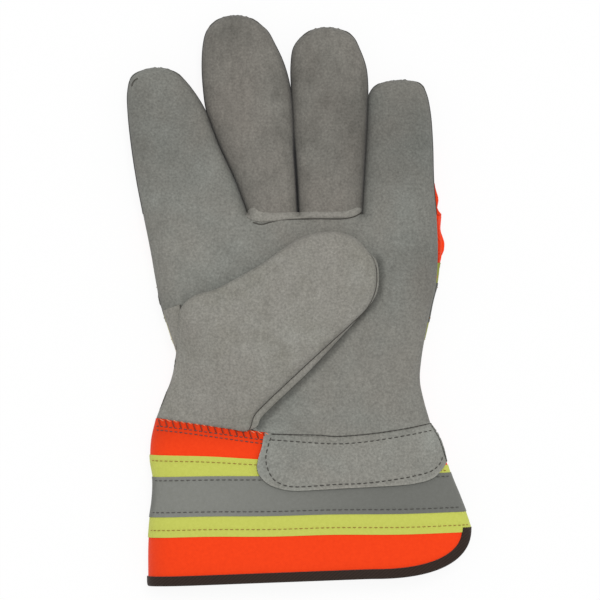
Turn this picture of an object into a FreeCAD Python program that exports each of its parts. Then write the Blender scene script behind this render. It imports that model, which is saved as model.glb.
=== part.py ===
"""Leather-palm work glove for the left hand, with a high-visibility safety cuff.

The glove lies on its back, palm up, with the thumb folded over the palm.
+Y runs from the cuff to the fingertips, +X to the little finger's side and +Z up
out of the palm. The origin is on the table, under the middle of the glove.
Millimetres throughout.

Every panel is a skin: the space between two lofts through the same stations, the
outer one nearer the surface and the inner one deeper, kept inside a region. The
stations are ellipses standing across the glove, and their sizes are in the sheet.
"""
import FreeCAD, Part
import os

SIZES = {
    # materials, as thicknesses
    "leather": 1.4,
    "fabric": 0.9,
    "lining": 1.0,
    "tape": 0.35,
    "cuff_ply": 1.0,
    "cuff_backing": 0.8,
    "binding": 0.6,
    "elastic": 0.8,
    "thread": 0.3,
    "layer_gap": 0.1,
    # levels and the line of the knuckles
    "seam_height": 7.0,
    "knuckle_y": 40.0,
    "joint_gap": 0.6,
    # hand, from the knuckles back to the cuff: place, centre, width and rise
    "knuckle_x": -4.5,
    "knuckle_width": 137.0,
    "knuckle_rise": 9.5,
    "palm_length": 25.0,
    "palm_x": -2.0,
    "palm_width": 133.0,
    "palm_rise": 12.0,
    "heel_length": 50.0,
    "heel_x": -1.5,
    "heel_width": 125.0,
    "heel_rise": 12.5,
    "wrist_length": 75.0,
    "wrist_x": -2.0,
    "wrist_width": 117.0,
    "wrist_rise": 11.0,
    "hand_length": 100.0,
    "cuff_top_x": -3.5,
    "cuff_top_width": 131.0,
    "cuff_top_rise": 9.5,
    "back_drop": 6.0,
    "cuff_top_drop": 5.5,
    # cuff
    "cuff_length": 74.0,
    "hem_x": 10.3,
    "hem_width": 164.6,
    "hem_rise": 13.5,
    "hem_drop": 6.3,
    "hem_slope": 1.4,
    "slit_side": 79.5,
    "slit_length": 33.0,
    "slit_radius": 30.0,
    "binding_width": 4.7,
    # high-visibility tape, on the cuff and across the back
    "lime_width": 39.0,
    "silver_width": 19.0,
    "cuff_tape_below": 12.5,
    "back_tape_below": 22.0,
    "tape_stitch_margin": 1.5,
    # leather patch over the cuff
    "patch_left": -20.0,
    "patch_right": 76.0,
    "patch_below": 2.0,
    "patch_length": 26.5,
    "patch_radius": 11.0,
    "patch_stitch_margin": 2.2,
    "stitch_width": 0.5,
    "seam_row_spacing": 3.8,
    "overlock_width": 3.0,
    # small pieces of the hand
    "fold_left": -24.5,
    "fold_right": 28.7,
    "fold_width": 3.4,
    "elastic_below": 66.0,
    "elastic_width": 8.0,
    "elastic_length": 86.0,
    "gusset_left": -70.0,
    "gusset_right": -57.0,
    "gusset_below": 43.0,
    "gusset_length": 20.0,
    # fingers, from the knuckle line
    "finger_rise": 8.5,
    "finger_drop": 7.4,
    "low_length": 22.5,
    "index_length": 69.7,
    "index_wide_length": 44.0,
    "index_base_x": -48.4,
    "index_base_width": 47.8,
    "index_low_x": -55.4,
    "index_low_width": 42.8,
    "index_wide_x": -61.6,
    "index_wide_width": 37.4,
    "index_tip_x": -67.0,
    "middle_length": 93.9,
    "middle_wide_length": 53.0,
    "middle_base_x": -13.4,
    "middle_base_width": 20.4,
    "middle_low_x": -17.9,
    "middle_low_width": 28.0,
    "middle_wide_x": -24.7,
    "middle_wide_width": 38.0,
    "middle_tip_x": -30.0,
    "ring_length": 88.2,
    "ring_wide_length": 56.0,
    "ring_base_x": 13.2,
    "ring_base_width": 30.0,
    "ring_low_x": 13.0,
    "ring_low_width": 31.0,
    "ring_wide_x": 13.8,
    "ring_wide_width": 35.2,
    "ring_tip_x": 12.0,
    "little_length": 64.0,
    "little_wide_length": 45.0,
    "little_base_x": 46.0,
    "little_base_width": 33.4,
    "little_low_x": 45.7,
    "little_low_width": 31.8,
    "little_wide_x": 46.3,
    "little_wide_width": 28.2,
    "little_tip_x": 47.0,
    "fingertip_length": 30.0,
    # thumb, in its own frame: along it from its root, and across it
    "thumb_root_x": -49.6,
    "thumb_root_y": -34.4,
    "thumb_root_z": 19.0,
    "thumb_turn": -61.7,
    "thumb_tilt": 5.0,
    "thumb_start": 1.5,
    "thumb_base_x": 1.5,
    "thumb_base_width": 62.0,
    "thumb_base_rise": 5.0,
    "thumb_base_drop": 3.0,
    "thumb_low_length": 20.0,
    "thumb_low_x": -1.2,
    "thumb_low_width": 58.0,
    "thumb_low_rise": 6.6,
    "thumb_low_drop": 2.7,
    "thumb_mid_length": 42.0,
    "thumb_mid_x": -3.4,
    "thumb_mid_width": 51.5,
    "thumb_mid_rise": 7.0,
    "thumb_mid_drop": 2.9,
    "thumb_wide_length": 76.0,
    "thumb_wide_x": -8.6,
    "thumb_wide_width": 44.8,
    "thumb_wide_rise": 6.2,
    "thumb_wide_drop": 5.6,
    "thumb_tip_x": -7.0,
    "thumb_length": 98.5,
    # wing of the thumb leather, from the glove's edge up to the thumb's root
    "wing_tilt": 19.0,
    "wing_length": 24.0,
    "wing_edge_x": 12.0,
    "wing_edge_width": 8.0,
    "wing_edge_rise": 3.0,
    "wing_x": 12.5,
    "wing_width": 19.0,
    "wing_rise": 4.2,
}

TIP_STEPS = (0.5, 0.8, 0.95, 0.99)      # shares of a rounded tip where it has a station
TIP_ROUNDNESS = 2.3                     # 2 is an ellipse, more is blunter
OVERRUN = 1.0                           # a loft runs this far past an open end
SPAN = 400.0                            # a region's open sides are this far apart
FINGERS = ("index", "middle", "ring", "little")

doc = FreeCAD.newDocument("work_glove")
sheet = doc.addObject("Spreadsheet::Sheet", "Sizes")
for row, (alias, value) in enumerate(SIZES.items(), start=1):
    sheet.set(f"A{row}", alias)
    sheet.set(f"B{row}", str(value))
    sheet.setAlias(f"B{row}", alias)
doc.recompute()

parts = []


def size(expression):
    """The expression with every size's name written as the sheet's cell."""
    words = []
    for word in expression.split():
        bare = word.strip("()")
        words.append(word.replace(bare, f"Sizes.{bare}") if bare in SIZES else word)
    return " ".join(words)


def bind(feature, name, expression):
    feature.setExpression(name, size(expression))


# ---------------------------------------------------------------- stations

def station(along, centre, width, rise, drop, share=1.0, pull=0.0):
    """One section of a stall. share scales it at a tip, pull shortens it by the inset."""
    return {"along": along, "centre": centre, "width": width,
            "rise": rise, "drop": drop, "share": share, "pull": pull}


def between(first, second, share):
    """The station part of the way from one to the next."""
    mixed = dict(first)
    for key in ("along", "centre", "width", "rise", "drop"):
        mixed[key] = f"( ( {first[key]} ) * {1 - share} + ( {second[key]} ) * {share} )"
    return mixed


def evened(stations):
    """The stations with one more in the middle of each gap, so the skin runs straight."""
    even = stations[:1]
    for first, second in zip(stations, stations[1:]):
        even += [between(first, second, 0.5), second]
    return even


def rounded_tip(wide, wide_along, wide_centre, tip_along, tip_centre):
    """The stations that close a stall, from its widest station to its tip."""
    tip = []
    for step in TIP_STEPS:
        share = (1 - step ** TIP_ROUNDNESS) ** (1 / TIP_ROUNDNESS)
        tip.append(station(
            f"( {wide_along} ) + ( ( {tip_along} ) - ( {wide_along} ) ) * {step}",
            f"( {wide_centre} ) + ( ( {tip_centre} ) - ( {wide_centre} ) ) * {step ** 2:.4f}",
            wide["width"], wide["rise"], wide["drop"], share=round(share, 4), pull=step))
    return tip


def loft(name, stations, side, inset, open_ends):
    """A solid through the stations, its surface lying `inset` under the nominal one.

    side "rise" gives the palm side its height above the seam plane, "drop" the back
    its depth under it, and "both" a whole tube. Open ends overrun, for a region to trim.
    """
    sections = []
    for number, item in enumerate(stations):
        ellipse = doc.addObject("Part::Ellipse", f"{name}_section_{number}")
        ellipse.Placement = FreeCAD.Placement(
            FreeCAD.Vector(), FreeCAD.Rotation(FreeCAD.Vector(1, 0, 0), 90))
        height = {"rise": f"( {item['rise']} )", "drop": f"( {item['drop']} )",
                  "both": f"( {item['rise']} + {item['drop']} ) / 2"}[side]
        level = {"rise": "0", "drop": "0",
                 "both": f"( {item['rise']} - {item['drop']} ) / 2"}[side]
        overrun = 0.0
        if number in open_ends:
            overrun = -OVERRUN if number == 0 else OVERRUN
        bind(ellipse, "MajorRadius", f"( {item['width']} / 2 - ( {inset} ) ) * {item['share']}")
        bind(ellipse, "MinorRadius", f"( {height} - ( {inset} ) ) * {item['share']}")
        bind(ellipse, "Placement.Base.x", item["centre"])
        bind(ellipse, "Placement.Base.y", f"{item['along']} - ( {inset} ) * {item['pull']} + {overrun}")
        bind(ellipse, "Placement.Base.z", f"{item.get('level', 'seam_height')} + {level}")
        sections.append(ellipse)
    solid = doc.addObject("Part::Loft", name)
    solid.Sections = sections
    solid.Solid = True
    solid.Ruled = False
    return solid


# ---------------------------------------------------------------- regions

def slab(name, x=None, y=None, z=None):
    """A box between pairs of expressions. A side that isn't given is open."""
    box = doc.addObject("Part::Box", name)
    for axis, pair, length in (("x", x, "Length"), ("y", y, "Width"), ("z", z, "Height")):
        low, high = pair or (f"{-SPAN / 2}", f"{SPAN / 2}")
        bind(box, length, f"( {high} ) - ( {low} )")
        bind(box, f"Placement.Base.{axis}", low)
    return box


def rounded_panel(name, left, right, low, high, radius, turn="0", both_corners=False):
    """An upright prism whose lower right corner, or both lower corners, are round."""
    radius = f"( {radius} )"
    start = f"{left} + {radius}" if both_corners else left
    middle = slab(f"{name}_middle", (start, f"{right} - {radius}"), (low, high))
    side_left = f"{left}" if both_corners else f"{right} - {radius} - {OVERRUN}"
    sides = slab(f"{name}_sides", (side_left, right), (f"{low} + {radius}", high))
    corners = [(f"{right} - {radius}", f"{low} + {radius}")]
    if both_corners:
        corners.append((f"{left} + {radius}", f"{low} + {radius}"))
    pieces = [middle, sides]
    for number, (x, y) in enumerate(corners):
        corner = doc.addObject("Part::Cylinder", f"{name}_corner_{number}")
        corner.Height = SPAN
        bind(corner, "Radius", radius)
        bind(corner, "Placement.Base.x", x)
        bind(corner, "Placement.Base.y", y)
        corner.Placement.Base.z = -SPAN / 2
        pieces.append(corner)
    panel = doc.addObject("Part::MultiFuse", name)
    panel.Shapes = pieces
    bind(panel, "Placement.Rotation.Angle", turn)
    return panel


def union(name, *pieces):
    fuse = doc.addObject("Part::MultiFuse", name)
    fuse.Shapes = list(pieces)
    return fuse


def cut(name, base, tool):
    feature = doc.addObject("Part::Cut", name)
    feature.Base = base
    feature.Tool = tool
    return feature


def common(name, base, tool):
    feature = doc.addObject("Part::Common", name)
    feature.Base = base
    feature.Tool = tool
    return feature


def finished(feature, label):
    """Marks a feature as a sub-part: its label names its file."""
    feature.Label = label
    parts.append(feature)
    return feature


def skin(name, stations, side, outer, inner, region, open_ends):
    """The layer between two insets of one surface, kept inside a region."""
    outside = loft(f"{name}_outside", stations, side, outer, open_ends)
    inside = loft(f"{name}_inside", stations, side, inner, open_ends)
    blank = common(f"{name}_blank", outside, region)
    return cut(f"{name}_panel", blank, inside)


# ---------------------------------------------------------------- hand

def hand_station(place, behind, drop="back_drop"):
    return station(f"knuckle_y - {behind}", f"{place}_x", f"{place}_width", f"{place}_rise", drop)


hand = [
    hand_station("cuff_top", "hand_length", "cuff_top_drop"),
    hand_station("wrist", "wrist_length"),
    hand_station("heel", "heel_length"),
    hand_station("palm", "palm_length"),
    hand_station("knuckle", "joint_gap / 2"),
]
HAND_ENDS = (0, len(hand) - 1)
CUFF_TOP = "knuckle_y - hand_length"
ABOVE_SEAM = ("seam_height", f"seam_height + {SPAN / 2}")
BELOW_SEAM = (f"seam_height - {SPAN / 2}", "seam_height")

HAND_SPAN = (CUFF_TOP, "knuckle_y - joint_gap / 2")
palm_side = slab("palm_side", y=HAND_SPAN, z=ABOVE_SEAM)
back_side = slab("back_side", y=HAND_SPAN, z=BELOW_SEAM)

finished(skin("palm_leather", hand, "rise", "0", "leather", palm_side, HAND_ENDS),
         "palm_leather")
finished(skin("palm_lining", hand, "rise", "leather + layer_gap", "leather + layer_gap + lining",
              palm_side, HAND_ENDS), "palm_lining")
finished(skin("back_fabric", hand, "drop", "0", "fabric", back_side, HAND_ENDS), "back_fabric")

# The rolled edge where the middle and ring fingers are sewn to the palm.
fold_place = slab("fold_place", ("fold_left", "fold_right"),
                  ("knuckle_y - joint_gap / 2 - fold_width", "knuckle_y - joint_gap / 2"),
                  ABOVE_SEAM)
finished(skin("finger_seam_fold", hand, "rise", "0 - layer_gap - leather", "0 - layer_gap",
              fold_place, HAND_ENDS), "finger_seam_fold")

# The small leather gusset in the crotch of the thumb.
gusset_place = slab("gusset_place", ("gusset_left", "gusset_right"),
                    ("knuckle_y - gusset_below - gusset_length", "knuckle_y - gusset_below"),
                    ABOVE_SEAM)
finished(skin("thumb_gusset", hand, "rise", "0 - layer_gap - leather", "0 - layer_gap",
              gusset_place, HAND_ENDS), "thumb_gusset")

# Shirring elastic, sewn inside the back at the wrist.
elastic_place = slab("elastic_place", ("wrist_x - elastic_length / 2", "wrist_x + elastic_length / 2"),
                     ("knuckle_y - elastic_below - elastic_width", "knuckle_y - elastic_below"),
                     BELOW_SEAM)
finished(skin("wrist_elastic", hand, "drop", "fabric + layer_gap", "fabric + layer_gap + elastic",
              elastic_place, HAND_ENDS), "wrist_elastic")


# ---------------------------------------------------------------- high-visibility tape

LIME_OUT = "0 - layer_gap - tape"
LIME_IN = "0 - layer_gap"
SILVER_OUT = "0 - 2 * layer_gap - 2 * tape"
SILVER_IN = "0 - 2 * layer_gap - tape"
THREAD_OUT = "0 - 2 * layer_gap - tape - thread"
THREAD_IN = "0 - 2 * layer_gap - tape"


def band(name, top, width, inset="0", z=None):
    """The region of a strip across the glove, `width` long down from `top`."""
    return slab(name, y=(f"{top} - {width} + ( {inset} )", f"{top} - ( {inset} )"), z=z)


def stitch_rows(name, top, width, z=None):
    """Two rows of thread, a margin inside the strip's edges."""
    upper = f"{top} - tape_stitch_margin"
    lower = f"{top} - {width} + tape_stitch_margin + stitch_width"
    rows = [slab(f"{name}_row_{number}", y=(f"{place} - stitch_width", place), z=z)
            for number, place in enumerate((upper, lower))]
    return union(f"{name}_rows", *rows)


BACK_TAPE_TOP = "knuckle_y - back_tape_below"
SILVER_SETBACK = "( lime_width - silver_width ) / 2"
back_lime = band("back_lime_place", BACK_TAPE_TOP, "lime_width", z=BELOW_SEAM)
back_silver = band("back_silver_place", BACK_TAPE_TOP, "lime_width", SILVER_SETBACK, BELOW_SEAM)
finished(skin("back_tape_lime", hand, "drop", LIME_OUT, LIME_IN, back_lime, HAND_ENDS),
         "back_tape_lime")
finished(skin("back_tape_silver", hand, "drop", SILVER_OUT, SILVER_IN, back_silver, HAND_ENDS),
         "back_tape_silver")
back_rows = stitch_rows("back_tape", BACK_TAPE_TOP, "lime_width", BELOW_SEAM)
finished(skin("back_tape_thread", hand, "drop", THREAD_OUT, THREAD_IN, back_rows, HAND_ENDS),
         "back_tape_thread")


# ---------------------------------------------------------------- cuff

cuff = [
    station(f"{CUFF_TOP} - cuff_length", "hem_x", "hem_width", "hem_rise", "hem_drop"),
    station(CUFF_TOP, "cuff_top_x", "cuff_top_width", "cuff_top_rise", "cuff_top_drop"),
]
CUFF_ENDS = (0, 1)
HEM = f"{CUFF_TOP} - cuff_length"


def hem_region(name, inset):
    """The cuff above its sloping hem, with the round corner beside the slit."""
    outline = rounded_panel(f"{name}_outline", f"{-SPAN / 2}", f"slit_side - ( {inset} )",
                            f"{HEM} + ( {inset} )", f"{SPAN / 2}", f"slit_radius - ( {inset} )",
                            turn="hem_slope")
    return common(name, outline, slab(f"{name}_span", y=(HEM, CUFF_TOP)))


cuff_front = slab("cuff_front", z=ABOVE_SEAM)
cuff_back = slab("cuff_back", z=BELOW_SEAM)
hem_outer = hem_region("hem_outer", "0")
hem_core = hem_region("hem_core", "binding")
hem_inner = hem_region("hem_inner", "binding_width")

BACKING_OUT = "cuff_ply + layer_gap"
BACKING_IN = "cuff_ply + layer_gap + cuff_backing"
finished(skin("cuff_ply", cuff, "both", "0", "cuff_ply", hem_core, CUFF_ENDS), "cuff_ply")
finished(skin("cuff_backing", cuff, "both", BACKING_OUT, BACKING_IN, hem_core, CUFF_ENDS),
         "cuff_backing")

# Binding folded over the raw hem: a channel that holds both plies.
below_slit = slab("below_slit", y=(f"{HEM} - {SPAN / 2}", f"{HEM} + slit_length"))
hem_band = common("hem_band", cut("hem_strip", hem_outer, hem_inner), below_slit)
binding_blank = skin("cuff_binding", cuff, "both", "0 - layer_gap - binding",
                     f"{BACKING_IN} + layer_gap + binding", hem_band, CUFF_ENDS)
plies = skin("plies", cuff, "both", "0 - layer_gap", f"{BACKING_IN} + layer_gap",
             hem_region("hem_channel", "binding - layer_gap"), CUFF_ENDS)
finished(cut("binding_channel", binding_blank, plies), "cuff_binding")

CUFF_TAPE_TOP = f"{CUFF_TOP} - cuff_tape_below"
lime_place = common("lime_place", band("lime_band", CUFF_TAPE_TOP, "lime_width"), hem_inner)
silver_place = common("silver_place", band("silver_band", CUFF_TAPE_TOP, "lime_width",
                                           SILVER_SETBACK), hem_inner)
finished(skin("cuff_tape_lime", cuff, "both", LIME_OUT, LIME_IN, lime_place, CUFF_ENDS),
         "cuff_tape_lime")
finished(skin("cuff_tape_silver", cuff, "both", SILVER_OUT, SILVER_IN, silver_place, CUFF_ENDS),
         "cuff_tape_silver")

# Leather patch over the cuff's front, sewn over the tapes.
patch_top = f"{CUFF_TOP} - patch_below"


def patch_region(name, inset):
    """The patch's outline, set in by an inset."""
    return rounded_panel(name, f"patch_left + ( {inset} )", f"patch_right - ( {inset} )",
                         f"{patch_top} - patch_length + ( {inset} )", patch_top,
                         f"patch_radius - ( {inset} )", both_corners=True)


PATCH_OUT = "0 - 3 * layer_gap - 2 * tape - leather"
PATCH_IN = "0 - 3 * layer_gap - 2 * tape"
patch_front = common("patch_front", patch_region("patch_place", "0"), cuff_front)
finished(skin("vein_patch", cuff, "both", PATCH_OUT, PATCH_IN, patch_front, CUFF_ENDS), "vein_patch")

# Dark thread: the patch's edge row, and two rows along its top.
edge_row = cut("patch_edge_row", patch_region("patch_row_outer", "patch_stitch_margin"),
               patch_region("patch_row_inner", "patch_stitch_margin + stitch_width"))
seam_rows = [slab(f"seam_row_{number}",
                  ("patch_left + patch_stitch_margin", "patch_right - patch_stitch_margin"),
                  (f"{patch_top} - {number} * seam_row_spacing - 2 * stitch_width",
                   f"{patch_top} - {number} * seam_row_spacing - stitch_width"))
             for number in range(2)]
patch_rows = common("patch_rows", union("patch_thread_rows", edge_row, *seam_rows), cuff_front)
finished(skin("patch_thread", cuff, "both", f"{PATCH_OUT} - layer_gap - thread",
              f"{PATCH_OUT} - layer_gap", patch_rows, CUFF_ENDS), "patch_thread")

# Tape thread on the back half of the cuff and on the front left of the patch.
clear_of_patch = union("clear_of_patch", cuff_back,
                       slab("left_of_patch", (f"{-SPAN / 2}", "patch_left - layer_gap")))
lime_rows = stitch_rows("lime", CUFF_TAPE_TOP, "lime_width")
lime_rows_clear = common("lime_rows_clear", common("lime_rows_kept", lime_rows, hem_inner),
                         clear_of_patch)
finished(skin("cuff_tape_thread", cuff, "both", THREAD_OUT, THREAD_IN, lime_rows_clear,
              CUFF_ENDS), "cuff_tape_thread")

# Overlock along the cuff's top edge, left of the patch.
overlock_place = slab("overlock_place", (f"{-SPAN / 2}", "patch_left - layer_gap"),
                      (f"{CUFF_TOP} - overlock_width", CUFF_TOP), ABOVE_SEAM)
finished(skin("overlock_thread", cuff, "both", "0 - layer_gap - thread", "0 - layer_gap",
              overlock_place, CUFF_ENDS), "overlock_thread")


# ---------------------------------------------------------------- fingers

PAST_KNUCKLES = ("knuckle_y + joint_gap / 2", f"{SPAN}")
TABLE_UP = ("0", "seam_height")


def finger_stations(finger):
    """A finger from the knuckle line: base, low, widest, then the rounded tip."""
    wide_along = f"knuckle_y + {finger}_wide_length"
    wide = station(wide_along, f"{finger}_wide_x", f"{finger}_wide_width", "finger_rise",
                   "finger_drop")
    return evened([
        station("knuckle_y + joint_gap / 2", f"{finger}_base_x", f"{finger}_base_width",
                "finger_rise", "finger_drop"),
        station("knuckle_y + low_length", f"{finger}_low_x", f"{finger}_low_width",
                "finger_rise", "finger_drop"),
        wide,
    ]) + rounded_tip(wide, wide_along, f"{finger}_wide_x", f"knuckle_y + {finger}_length",
                    f"{finger}_tip_x")


finger_front = slab("finger_front", y=PAST_KNUCKLES, z=ABOVE_SEAM)
finger_back = slab("finger_back", y=PAST_KNUCKLES, z=TABLE_UP)
for finger in FINGERS:
    stall = finger_stations(finger)
    finished(skin(f"{finger}_front", stall, "rise", "0", "leather", finger_front, (0,)),
             f"{finger}_front")
    if finger == "index":
        finished(skin("index_back", stall, "drop", "0", "leather", finger_back, (0,)), "index_back")
        continue
    cap_start = f"knuckle_y + {finger}_length - fingertip_length"
    cloth_place = slab(f"{finger}_cloth_place", (f"{-SPAN / 2}", f"{SPAN / 2}"),
                       (PAST_KNUCKLES[0], cap_start), TABLE_UP)
    cap_place = slab(f"{finger}_cap_place", y=(cap_start, f"{SPAN}"), z=TABLE_UP)
    finished(skin(f"{finger}_back", stall, "drop", "0", "leather", cloth_place, (0,)),
             f"{finger}_back")
    finished(skin(f"{finger}_cap", stall, "drop", "0", "leather", cap_place, (0,)),
             f"{finger}_fingertip")


# ---------------------------------------------------------------- thumb

def thumb_station(place, along):
    return station(along, f"thumb_{place}_x", f"thumb_{place}_width", f"thumb_{place}_rise",
                   f"thumb_{place}_drop")


thumb_wide = thumb_station("wide", "thumb_wide_length")
thumb = evened([
    thumb_station("base", "thumb_start"),
    thumb_station("low", "thumb_low_length"),
    thumb_station("mid", "thumb_mid_length"),
    thumb_wide,
]) + rounded_tip(thumb_wide, "thumb_wide_length", "thumb_wide_x", "thumb_length", "thumb_tip_x")
thumb_root = evened([
    station("0 - wing_length", "wing_edge_x", "wing_edge_width", "wing_edge_rise", "wing_edge_rise"),
    station("0 - wing_length / 2", "wing_x", "wing_width", "wing_rise", "wing_rise"),
    station("0 - joint_gap", "thumb_base_x", "thumb_base_width", "thumb_base_rise",
            "thumb_base_rise"),
])
for item in thumb + thumb_root:
    item["level"] = "0"


def hinged(feature, tilt):
    """Puts a feature on the thumb's root: its own Y runs along the thumb, tilted up."""
    feature.setExpression("Placement", size(
        "placement(vector( thumb_root_x ; thumb_root_y ; thumb_root_z ); "
        "rotation(vector(0; 0; 1); thumb_turn )) "
        f"* placement(vector(0; 0; 0); rotation(vector(1; 0; 0); {tilt} ))"))


upper_half = slab("upper_half", y=("thumb_start", f"{SPAN}"), z=("0", f"{SPAN / 2}"))
lower_half = slab("lower_half", y=("thumb_start", f"{SPAN}"), z=(f"{-SPAN / 2}", "0"))
wing_place = slab("wing_place", y=("0 - wing_length", "0 - joint_gap"), z=("0", f"{SPAN / 2}"))
for name, stations, side, region, tilt, open_ends in (
        ("thumb_front", thumb, "rise", upper_half, "thumb_tilt", (0,)),
        ("thumb_back", thumb, "drop", lower_half, "thumb_tilt", (0,)),
        ("thumb_wing", thumb_root, "rise", wing_place, "wing_tilt", (0, len(thumb_root) - 1))):
    hinged(finished(skin(name, stations, side, "0", "leather", region, open_ends), name), tilt)


# ---------------------------------------------------------------- check and write

doc.recompute()
for feature in doc.Objects:
    if {"Invalid", "Error"} & set(feature.State):
        raise RuntimeError(f"{feature.Name} failed: {feature.State}")
os.makedirs("parts", exist_ok=True)
for feature in parts:
    shape = feature.Shape
    if shape.isNull() or not shape.isValid() or not shape.Solids:
        raise RuntimeError(f"{feature.Label} is not a valid solid")
    shape.exportStep(os.path.join("parts", f"{feature.Label}.step"))
    box = shape.BoundBox
    print(f"{feature.Label:20} solids {len(shape.Solids)}  volume {shape.Volume:9.1f}  "
          f"x {box.XMin:7.1f} {box.XMax:7.1f}  y {box.YMin:7.1f} {box.YMax:7.1f}  "
          f"z {box.ZMin:6.2f} {box.ZMax:6.2f}")
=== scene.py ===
"""Left-hand leather-palm work glove with a high-visibility safety cuff.

It lies on its back, palm up, with the thumb folded over the palm, in the frame of the
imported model: +Y to the fingertips, +X to the little finger, +Z up out of the palm.
Lengths are in millimetres, and a mesh is scaled to metres when it is made.
"""
import bpy, bmesh, math
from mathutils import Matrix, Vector, kdtree, noise


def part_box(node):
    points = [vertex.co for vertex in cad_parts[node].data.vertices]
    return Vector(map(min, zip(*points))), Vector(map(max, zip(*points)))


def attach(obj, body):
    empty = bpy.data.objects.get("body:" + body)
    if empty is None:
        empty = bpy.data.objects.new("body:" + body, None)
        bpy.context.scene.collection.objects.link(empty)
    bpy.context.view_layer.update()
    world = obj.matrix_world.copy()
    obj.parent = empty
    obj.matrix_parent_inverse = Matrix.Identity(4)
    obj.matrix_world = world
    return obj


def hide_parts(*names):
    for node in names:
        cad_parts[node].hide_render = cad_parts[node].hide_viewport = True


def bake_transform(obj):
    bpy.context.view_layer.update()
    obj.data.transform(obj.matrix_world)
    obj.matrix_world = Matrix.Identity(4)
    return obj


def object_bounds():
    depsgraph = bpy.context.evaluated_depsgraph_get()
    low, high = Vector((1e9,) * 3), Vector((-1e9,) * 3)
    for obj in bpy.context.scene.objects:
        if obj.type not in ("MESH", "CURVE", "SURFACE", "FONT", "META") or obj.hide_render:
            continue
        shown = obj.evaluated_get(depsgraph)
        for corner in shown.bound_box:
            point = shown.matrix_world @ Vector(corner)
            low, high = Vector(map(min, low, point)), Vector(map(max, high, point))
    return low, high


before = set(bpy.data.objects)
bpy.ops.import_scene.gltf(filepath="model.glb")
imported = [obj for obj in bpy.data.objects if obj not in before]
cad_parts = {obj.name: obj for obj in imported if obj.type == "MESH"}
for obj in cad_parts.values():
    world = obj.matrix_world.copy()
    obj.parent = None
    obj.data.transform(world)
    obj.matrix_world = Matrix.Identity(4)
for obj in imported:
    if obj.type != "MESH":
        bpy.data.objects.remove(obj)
cad_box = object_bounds()
bpy.ops.object.select_all(action="DESELECT")


# ------------------------------------------------------------ hand and finger leather
# The palm, the front of the index finger and the front of the little finger are one
# piece of split cowhide, suede side out. The middle and ring fronts are two separate
# pieces of a browner hide, sewn on across the knuckles. All seams are sewn inside out,
# so each finger is a soft flat tube whose edges turn under to the side seam.

MM = 0.001
SEAM = 7.0                  # height of the side seams over the table
LEATHER = 1.4
DRILL = 0.8                 # thickness of the orange cloth on the back
CLOSEST = 0.08              # points of a panel nearer than this become one
GLOVE_LOW, GLOVE_HIGH = cad_box[0] / MM, cad_box[1] / MM


def spot(across, along):
    """A place on the glove's plan, in hundredths of its width and of its length."""
    return Vector((GLOVE_LOW.x + (GLOVE_HIGH.x - GLOVE_LOW.x) * across / 100,
                   GLOVE_LOW.y + (GLOVE_HIGH.y - GLOVE_LOW.y) * along / 100, 0.0))


def smooth_line(points, steps):
    """A centripetal Catmull-Rom line through the points, with so many steps a span."""
    points = [Vector(p) for p in points]
    ends = [points[0] * 2 - points[1], *points, points[-1] * 2 - points[-2]]
    line = []
    for a, b, c, d in zip(ends, ends[1:], ends[2:], ends[3:]):
        t1 = max((b - a).length, 1e-4) ** 0.5
        t2 = t1 + max((c - b).length, 1e-4) ** 0.5
        t3 = t2 + max((d - c).length, 1e-4) ** 0.5
        for step in range(steps):
            t = t1 + (t2 - t1) * step / steps
            ab = a * (t1 - t) / t1 + b * t / t1
            bc = b * (t2 - t) / (t2 - t1) + c * (t - t1) / (t2 - t1)
            cd = c * (t3 - t) / (t3 - t2) + d * (t - t2) / (t3 - t2)
            abc = ab * (t2 - t) / t2 + bc * t / t2
            bcd = bc * (t3 - t) / (t3 - t1) + cd * (t - t1) / (t3 - t1)
            line.append(abc * (t2 - t) / (t2 - t1) + bcd * (t - t1) / (t2 - t1))
    return line + [points[-1]]


def two_sides(pairs, steps):
    """The left and right edge of a panel, as smooth lines of as many points."""
    left = [spot(*a) for a, b in pairs]
    right = [spot(*b) for a, b in pairs]
    if left[-1] != right[-1]:
        return smooth_line(left, steps), smooth_line(right, steps)
    outline = smooth_line(left + right[-2::-1], steps)
    middle = (len(left) - 1) * steps
    return outline[:middle + 1], outline[:middle - 1:-1]


def stepped(value, stops):
    """Eases between (place, height) stops in falling order of place."""
    if value >= stops[0][0]:
        return stops[0][1]
    for (high, first), (low, second) in zip(stops, stops[1:]):
        if value >= low:
            share = (high - value) / (high - low)
            share = share * share * (3 - 2 * share)
            return first + (second - first) * share
    return stops[-1][1]


def eased(low, high, value):
    """0 below low, 1 above high, and a smooth turn between them."""
    share = min(max((value - low) / (high - low), 0.0), 1.0)
    return share * share * (3 - 2 * share)


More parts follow.
